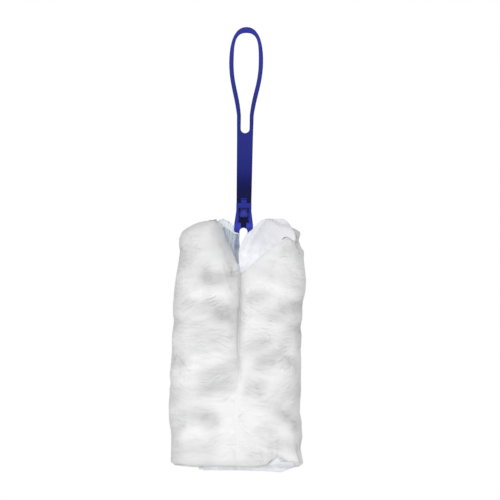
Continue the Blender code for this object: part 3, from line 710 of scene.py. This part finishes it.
def layer_mesh(name, number):
    """One tow layer, both sides and the welded web between them, as a single closed body."""
    low = seam_start + layer_steps[number] * web_pitch
    high = low + web_thickness
    shares = down_shares()
    rows = len(shares)
    halves = []
    shades = []
    for side in (1, -1):
        points, outward, girth, turn = contours[side]
        first = np.searchsorted(turn, layer_turns[number])
        last = np.searchsorted(turn, layer_turns[number + 1])
        # Neighbours lap a little, each going under the other, so that no gap shows between them
        over = 1 if number == bed_layer else lap_steps
        inside = np.arange(max(first - lap_steps, 0), min(last + over, len(turn) - 1) + 1)
        if number == front_layer:
            inside = inside[turn[inside] <= groove_turn]
        lap = np.maximum(np.maximum(first - inside, (inside - last) * lap_steps / over), 0)
        arc = points[inside]
        arc_out = outward[inside]
        arc_girth = girth[inside]
        lower_end = arc[0]
        upper_end = arc[-1]
        if number == 0:
            # The rearmost layer lies flat on the sheets to just past their edge
            shelf = (sheet_left * side if side < 0 else sheet_right) - side * seam + 0.4
            path = np.array([[weld_side, low], [shelf, low], lower_end])
            flat_part = shelf - weld_side
            reach = np.array([0, flat_part, flat_part + np.hypot(*(lower_end - path[1]))])
            even = np.linspace(0, reach[-1], fold_steps + 1)
            lower = np.stack([np.interp(even, reach, path[:, k]) for k in (0, 1)], axis=1)
        else:
            lower = np.linspace([weld_side, low], lower_end, fold_steps + 1)
        ring = np.concatenate([lower[:-1], arc])
        swell = np.concatenate([np.linspace(0, 0.9, fold_steps) ** 3, np.ones(len(inside))])
        sunk = np.concatenate([np.full(fold_steps, fold_sink if number else 0.0), lap_sink * lap**2])
        out = np.concatenate([np.tile(arc_out[0], (fold_steps, 1)), arc_out])
        around = np.concatenate([np.full(fold_steps, arc_girth[0]), arc_girth])
        if number < front_layer:
            upper = np.linspace([weld_side, high], upper_end, fold_steps + 1)
            ring = np.concatenate([ring, upper[::-1][1:]])
            swell = np.concatenate([swell, np.zeros(fold_steps)])
            sunk = np.concatenate([sunk, np.linspace(fold_sink, 0, fold_steps)])
            out = np.concatenate([out, np.tile(arc_out[-1], (fold_steps, 1))])
            around = np.concatenate([around, np.full(fold_steps, arc_girth[-1])])
        grid = np.ones((rows, 1))
        x, y, z, shade = placed(
            side,
            number,
            ring[:, 0] * grid,
            ring[:, 1] * grid,
            around * grid,
            out[None] * np.ones((rows, 1, 1)),
            shares[:, None] * np.ones(len(ring)),
            swell,
            sunk,
        )
        shades.append(shade)
        place = np.stack([x, y, z], axis=2)
        # The ends close: each half of the first and last rings runs into the other half
        place[[0, -1]] = (place[[0, -1]] + place[[0, -1], ::-1]) / 2
        halves.append(place)
    right, left = halves
    rings = np.concatenate([right, left[:, ::-1]], axis=1)
    around_count = rings.shape[1]
    points = rings.reshape(-1, 3) * mm
    index = np.arange(rows * around_count).reshape(rows, around_count)
    after = np.roll(index, -1, axis=1)
    faces = np.stack([index[:-1], after[:-1], after[1:], index[1:]], axis=2).reshape(-1, 4)
    layer = linked_mesh(name, points, faces, np.concatenate([shades[0], shades[1][:, ::-1]], axis=1))
    bpy.ops.object.mode_set(mode="EDIT")
    bpy.ops.mesh.select_all(action="SELECT")
    bpy.ops.mesh.remove_doubles(threshold=0.00001)
    bpy.ops.mesh.normals_make_consistent(inside=False)
    bpy.ops.object.mode_set(mode="OBJECT")
    bpy.ops.object.shade_smooth()
    layer.select_set(False)
    return layer


def shaded_colour(tree, colour, deep):
    """A colour that deepens where the mesh's shade is high: painted shade."""
    shade = add_node(tree, "ShaderNodeAttribute", attribute_name="shade")
    return mixed(tree, shade.outputs["Fac"], colour, srgb(deep))


def opened_tow(name, light, dark, deep, streak_depth):
    """Crimped fibre in bulk: matt, almost white, with streaks along the fibres and painted shade in the
    creases.
    """
    values = {"Roughness": 0.9, "IOR": 1.4, "Sheen Weight": 0.1, "Specular IOR Level": 0.2}
    material, tree, shader = new_material(name, values)
    place = add_node(tree, "ShaderNodeTexCoord").outputs["Object"]
    # Fibres run across the refill: streaks 0.7 mm wide and 12 mm long
    along = add_node(tree, "ShaderNodeMapping", {"Vector": place, "Scale": (80, 110, 1400)})
    streaks = add_node(tree, "ShaderNodeTexNoise", {"Vector": along.outputs[0], "Scale": 1.0, "Detail": 4.0})
    colour = mixed(tree, streaks.outputs["Fac"], srgb(dark), srgb(light))
    tree.links.new(shaded_colour(tree, colour, deep), shader.inputs["Base Color"])
    combed = add_node(
        tree, "ShaderNodeBump", {"Height": streaks.outputs["Fac"], "Strength": 0.5, "Distance": streak_depth}
    )
    tree.links.new(combed.outputs["Normal"], shader.inputs["Normal"])
    return material


tow_material = opened_tow("polyester_tow_opened", "F1F1F1", "EDEDED", "CDCDCE", 0.0001)
tow_layers = []
for number in range(front_layer + 1):
    layer = layer_mesh(f"tow_fluff_{number + 1}", number)
    layer.data.materials.append(tow_material)
    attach(layer, "refill")
    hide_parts(f"tow_layer_{number + 1}")
    tow_layers.append(layer)

# Tow fibres
# The crimped fibres at the fluff's surface, in locks that lie outwards from the seam and end in loose
# tips. Real ones are 0.02 mm thick, and these are 0.11 mm, the least that shows at this distance.

fibre_points = 6
fibre_sides = 3
fibre_radius = 0.055
lock_count = 540
lock_fibres = 13
lock_spread = 3.4
lock_lengths = (9, 19)
least_length = 3.5
reach_over_seam = 14
crimp_length = 6.5
crimp_heights = (0.15, 0.45)


def lobe_grid(side):
    """The whole outer surface of one lobe as a grid: places, directions outwards, shade, and its tables."""
    shown = contours[side][3] <= groove_turn
    points, outward, girth, turn = (values[shown] for values in contours[side])
    shares = down_shares()
    columns = []
    tops = []
    bottoms = []
    for number in range(front_layer + 1):
        first = np.searchsorted(turn, layer_turns[number])
        last = min(np.searchsorted(turn, layer_turns[number + 1]), len(turn))
        edges = edges_of(side, number)
        part = slice(first, last)
        grid = np.ones((len(shares), 1))
        x, y, z, shade = placed(
            side,
            number,
            points[part, 0] * grid,
            points[part, 1] * grid,
            girth[part] * grid,
            outward[None, part] * np.ones((len(shares), 1, 1)),
            shares[:, None] * np.ones(last - first),
            np.ones(last - first),
            0.0,
        )
        columns.append(np.stack([x, y, z, shade], axis=2))
        tops.append(along_table(edges[0], points[part, 0]))
        bottoms.append(along_table(edges[1], points[part, 0]))
    place, shade = np.split(np.concatenate(columns, axis=1), [3], axis=2)
    down = np.gradient(place, axis=0)
    around = np.gradient(place, axis=1)
    normal = np.cross(around, down) * side
    normal /= np.maximum(np.linalg.norm(normal, axis=2), 1e-9)[..., None]
    return place, normal, shade, np.concatenate(tops), np.concatenate(bottoms), shares, turn


def read_grid(grid, row, column):
    """A grid's values between its rows and columns."""
    row = np.clip(row, 0, grid.shape[0] - 1.001)
    column = np.clip(column, 0, grid.shape[1] - 1.001)
    i = row.astype(int)
    j = column.astype(int)
    s = (row - i)[..., None]
    t = (column - j)[..., None]
    near = grid[i, j] * (1 - t) + grid[i, j + 1] * t
    far = grid[i + 1, j] * (1 - t) + grid[i + 1, j + 1] * t
    return near * (1 - s) + far * s


grids = {side: lobe_grid(side) for side in (-1, 1)}


def fibre_paths(number, side, random):
    """The middle lines of one side's fibres, the direction outwards along them, and their shade."""
    place, normal, shade, tops, bottoms, shares, turn = grids[side]
    first = np.searchsorted(turn, layer_turns[number])
    last = min(np.searchsorted(turn, layer_turns[number + 1]), len(turn) - 1)
    locks = lock_count // 2
    over_seam = reach_over_seam / tow_step if number == front_layer else 0
    column = random.uniform(first, last + over_seam, locks)
    beyond = np.maximum(column - last, 0) * tow_step
    column = np.minimum(column, last)
    share = random.uniform(0.0, 1.0, locks)
    top = np.interp(column, np.arange(len(tops)), tops)
    bottom = np.interp(column, np.arange(len(tops)), bottoms)
    drop = top + (bottom - top) * share
    sway = 0.5 * soft_noise(column * tow_step / 24, drop / 17, 30) + random.normal(0, 0.16, locks)
    sway -= 0.35 * (1 - rise(drop - top, 0, 16))
    sway += 0.35 * (1 - rise(bottom - drop, 0, 14))
    long = np.maximum(random.uniform(*lock_lengths, locks) - beyond, least_length)
    lift = random.uniform(0.0, 0.1, locks)
    tip = random.uniform(-0.25, 0.1, locks)
    count = locks * lock_fibres
    lock = np.repeat(np.arange(locks), lock_fibres)
    along = np.linspace(0, 1, fibre_points)[None, :]
    length = (long[lock] * random.uniform(0.7, 1.15, count))[:, None]
    spread = random.normal(0, lock_spread, (count, 1))
    start = random.uniform(-3, 3, (count, 1))
    turn_of = (sway[lock] + random.normal(0, 0.07, count))[:, None]
    wave = random.uniform(*crimp_heights, (count, 1))
    phase = random.uniform(0, 2 * math.pi, (count, 1))
    run = start + length * along
    side_step = spread * (1 - 0.45 * along) + wave * np.sin(phase + run * 2 * math.pi / crimp_length)
    girth_path = column[lock][:, None] * tow_step - run * np.cos(turn_of)
    drop_path = drop[lock][:, None] + run * np.sin(turn_of) + side_step
    column_path = np.clip(girth_path / tow_step, 0, len(tops) - 1.01)
    top_path = np.interp(column_path, np.arange(len(tops)), tops)
    bottom_path = np.interp(column_path, np.arange(len(tops)), bottoms)
    share_path = np.clip((drop_path - top_path) / (bottom_path - top_path), 0, 1)
    row_path = np.interp(share_path, shares, np.arange(len(shares)))
    base = read_grid(place, row_path, column_path)
    # Loose ends stand over the edge: up at the top, and down at the bottom
    base[..., 2] += 0.15 * np.clip(top_path - drop_path, 0, 3) - 0.3 * np.clip(drop_path - bottom_path, 0, 3)
    out = read_grid(normal, row_path, column_path)
    rest = random.normal(-0.02, 0.09, (count, 1))
    height = rest - 0.3 * (1 - along) ** 2 + lift[lock][:, None] * np.sin(math.pi * along)
    height = height + tip[lock][:, None] * along**2
    return base + out * height[..., None], out, read_grid(shade, row_path, column_path)[..., 0]


def fibre_mesh(name, number, seed):
    """All the fibres of one layer, each a closed three-sided tube that tapers to a point."""
    random = np.random.default_rng(seed)
    sides = [fibre_paths(number, side, random) for side in (-1, 1)]
    path = np.concatenate([s[0] for s in sides])
    out = np.concatenate([s[1] for s in sides])
    shade = np.concatenate([s[2] for s in sides])
    count = len(path)
    ahead = np.gradient(path, axis=1)
    ahead /= np.maximum(np.linalg.norm(ahead, axis=2), 1e-6)[..., None]
    beside = np.cross(ahead, out)
    beside /= np.maximum(np.linalg.norm(beside, axis=2), 1e-6)[..., None]
    above = np.cross(beside, ahead)
    rings = fibre_points - 1
    radius = fibre_radius * (1 - 0.6 * np.linspace(0, 1, fibre_points)[:rings])
    corners = []
    for corner in range(fibre_sides):
        turn = 2 * math.pi * corner / fibre_sides
        step = math.cos(turn) * above[:, :rings] + math.sin(turn) * beside[:, :rings]
        corners.append(path[:, :rings] + step * radius[None, :, None])
    tube = np.stack(corners, axis=2).reshape(count, rings * fibre_sides, 3)
    points = np.concatenate([tube, path[:, -1:]], axis=1).reshape(-1, 3) * mm
    each = rings * fibre_sides + 1
    faces = [(2, 1, 0)]
    for ring in range(rings - 1):
        for corner in range(fibre_sides):
            after = (corner + 1) % fibre_sides
            low = ring * fibre_sides
            high = low + fibre_sides
            faces.append((low + corner, low + after, high + after))
            faces.append((low + corner, high + after, high + corner))
    low = (rings - 1) * fibre_sides
    for corner in range(fibre_sides):
        faces.append((low + corner, low + (corner + 1) % fibre_sides, each - 1))
    faces = np.array(faces)[None] + (np.arange(count) * each)[:, None, None]
    along_rings = np.repeat(shade[:, :rings], fibre_sides, axis=1)
    shade = np.concatenate([along_rings, shade[:, -1:]], axis=1)
    fibres = linked_mesh(name, points, faces.reshape(-1, 3), shade)
    bpy.ops.object.shade_smooth()
    fibres.select_set(False)
    return fibres


# The fibres' own material: a little brighter in some locks than in others, and with the painted shade of the
# fluff beneath
fibre_material, tree, shader = new_material(
    "polyester_fibre_crimped",
    {"Roughness": 0.75, "IOR": 1.5, "Specular IOR Level": 0.3, "Sheen Weight": 0.1},
)
place = add_node(tree, "ShaderNodeTexCoord").outputs["Object"]
clouds = add_node(tree, "ShaderNodeTexNoise", {"Vector": place, "Scale": 90.0, "Detail": 2.0})
colour = mixed(tree, clouds.outputs["Fac"], srgb("F1F1F1"), srgb("F6F6F5"))
tree.links.new(shaded_colour(tree, colour, "D3D3D4"), shader.inputs["Base Color"])

for number, layer in enumerate(tow_layers):
    fibres = fibre_mesh(f"tow_fibres_{number + 1}", number, 40 + number)
    fibres.data.materials.append(fibre_material)
    fibres.parent = layer

# Strip sheet
# The third fleece sheet, welded in among the tow layers. It is thicker than the other two, and its
# upper right part shows over the back layers, smooth and faintly blue, as does a lower corner.

strip_thick = 0.5
strip_above = 1.0
strip_start = 145
strip_length = 183
flap_curl = 0.9
foot_shift = 1.3
flap_corner_x = 4
flap_corner_z = -168
strip_left_top = ((0, 177), (1, 176), (7, 169), (11.6, 158), (13.5, 151), (21, 145), (46, 150))
strip_right_top = (
    (0, 161.6), (0.5, 161), (4.7, 150.8), (9.8, 146), (13, 142.5), (15.5, 140.3), (18, 139.4), (31, 139.1),
    (33.5, 140), (36, 142.5), (41.4, 151), (46, 158),
)
strip_bottom = ((0, 327.4), (20, 327.8), (33, 328.5), (39, 326), (45, 323.2))
strip_left_widths = ((140, 26), (160, 33), (200, 35), (290, 34), (326, 25))
strip_right_widths = (
    (145, 40), (149, 41.2), (152, 40.3), (154, 38.4), (156, 35), (159, 31), (319, 31), (323, 42), (328, 43)
)


def strip_place(out, share):
    """Where the strip lies on the bed layer, in mm. out runs from -1 to 1 over its width."""
    rough_drop = strip_start + strip_length * share
    widths = np.where(
        out < 0, along_table(strip_left_widths, rough_drop), along_table(strip_right_widths, rough_drop)
    )
    across = np.abs(out) * widths
    top = np.where(out < 0, along_table(strip_left_top, across), along_table(strip_right_top, across))
    bottom = along_table(strip_bottom, across)
    drop = top + (bottom - top) * share
    lifted = np.zeros_like(across)
    for side in (-1, 1):
        plain = across
        for step in range(3):
            plain = across / drawn_in(side, edges_of(side, bed_layer), plain, drop)[0]
        lifted = np.where(np.sign(out) == side, bed_place(side, plain, drop), lifted)
    lifted = np.where(out == 0, bed_start, lifted)
    wrinkle = 0.2 * soft_noise(across / 14, drop / 16, 50) + 0.1 * soft_noise(across / 5, drop / 7, 51)
    curl = flap_curl * rise(across, 18, 30) * (1 - rise(drop, 148, 158))
    forward = lifted + strip_above + wrinkle * rise(across, 1, 7) + curl
    over = foot_shift * (1 - rise(drop, 163, 182)) * (1 - rise(across, 0, 9))
    return np.stack([seam + np.sign(out) * across - over, -forward, -drop])


strip_sheet, flat = flat_grid("refill_strip_sheet", 90, 150)
flat = flat.astype(float)
place = strip_place(flat[:, 0], (1 - flat[:, 1]) / 2)
# Painted shade: the sheet is painted greyer all over, less so lower down, than at a painted pool of light at
# the flap's inner corner, which lies flat to the light
painted_glow = np.exp(-(((place[0] - flap_corner_x) / 16) ** 2) - ((place[2] - flap_corner_z) / 13) ** 2)
shape_sheet(strip_sheet, place, (1 - painted_glow) * (1 - 0.6 * rise(-place[2], 200, 300)), strip_thick)
strip_material = bonded_fleece("polypropylene_fleece_thick", "F7F8FD", "F0F2F9", "DFDFE4", (0.86, 1.0))
strip_sheet.data.materials.append(strip_material)
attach(strip_sheet, "refill")
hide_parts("strip_sheet")

# Studio
# A pale floor far below the hanging duster, white light from all round, and soft lamps in front
# and behind. The world shows at full white and lights the scene at about two thirds of that.

world = bpy.data.worlds.new("studio")
bpy.context.scene.world = world
world.use_nodes = True
tree = world.node_tree
background = tree.nodes["Background"]
rays = add_node(tree, "ShaderNodeLightPath")
seen = add_node(
    tree,
    "ShaderNodeMath",
    {0: rays.outputs["Is Camera Ray"], 1: rays.outputs["Is Glossy Ray"]},
    operation="MAXIMUM",
)
seen_through = add_node(
    tree, "ShaderNodeMath", {0: seen.outputs[0], 1: rays.outputs["Is Transmission Ray"]}, operation="MAXIMUM"
)
strength = add_node(
    tree, "ShaderNodeMapRange", {"Value": seen_through.outputs[0], "To Min": 0.655, "To Max": 1.0}
)
background.inputs["Color"].default_value = (1, 1, 1, 1)
tree.links.new(strength.outputs["Result"], background.inputs["Strength"])

floor_drop = 0.62
bpy.ops.mesh.primitive_circle_add(vertices=96, radius=1.6, fill_type="NGON", location=(0, 0, -floor_drop))
floor = bpy.context.object
floor.name = "studio_floor"
bpy.ops.object.transform_apply(location=True)
floor.select_set(False)
floor_material, tree, shader = new_material("matt_white_floor", {"Roughness": 0.9})
shader.inputs["Base Color"].default_value = srgb("F2F2F2")
rays = add_node(tree, "ShaderNodeLightPath")
lift = add_node(
    tree, "ShaderNodeMapRange", {"Value": rays.outputs["Is Camera Ray"], "To Min": 0.0, "To Max": 0.5}
)
shader.inputs["Emission Color"].default_value = (1, 1, 1, 1)
tree.links.new(lift.outputs["Result"], shader.inputs["Emission Strength"])
# The floor is clear from below, so that a view from under the part sees it
see_through = add_node(tree, "ShaderNodeBsdfTransparent")
under = add_node(tree, "ShaderNodeNewGeometry")
floor_mix = add_node(
    tree,
    "ShaderNodeMixShader",
    {0: under.outputs["Backfacing"], 1: shader.outputs[0], 2: see_through.outputs[0]},
)
tree.links.new(floor_mix.outputs[0], tree.nodes["Material Output"].inputs["Surface"])
floor.data.materials.append(floor_material)


def soft_lamp(name, place, aim, size, power):
    """A square soft box that faces aim."""
    lamp = bpy.data.lights.new(name, "AREA")
    lamp.size = size
    lamp.energy = power
    holder = bpy.data.objects.new(name, lamp)
    bpy.context.collection.objects.link(holder)
    holder.location = place
    direction = np.array(place) - np.array(aim)
    flat = math.hypot(direction[0], direction[1])
    holder.rotation_euler = (math.atan2(flat, direction[2]), 0, math.atan2(direction[0], -direction[1]))


soft_lamp("key", (-0.5, -1.75, 0.35), (0, 0, -0.22), 1.5, 13.6)
soft_lamp("fill", (0.2, -1.6, -0.6), (0, 0, -0.25), 1.2, 4.2)
soft_lamp("rear", (0.7, 1.5, 0.3), (0, 0, -0.2), 1.0, 5)

# Camera
# A long lens straight in front, turned a little, because the duster hangs slightly off upright.

camera = bpy.data.cameras.new("camera")
camera.type = "PERSP"
camera.sensor_width = 36
camera.lens = 230.4
camera_object = bpy.data.objects.new("camera", camera)
bpy.context.collection.objects.link(camera_object)
camera_object.location = (0.0051, -2.4, -0.16275)
camera_object.rotation_euler = (math.pi / 2, -0.0159, 0)
bpy.context.scene.camera = camera_object
bpy.context.scene.view_settings.view_transform = "Standard"
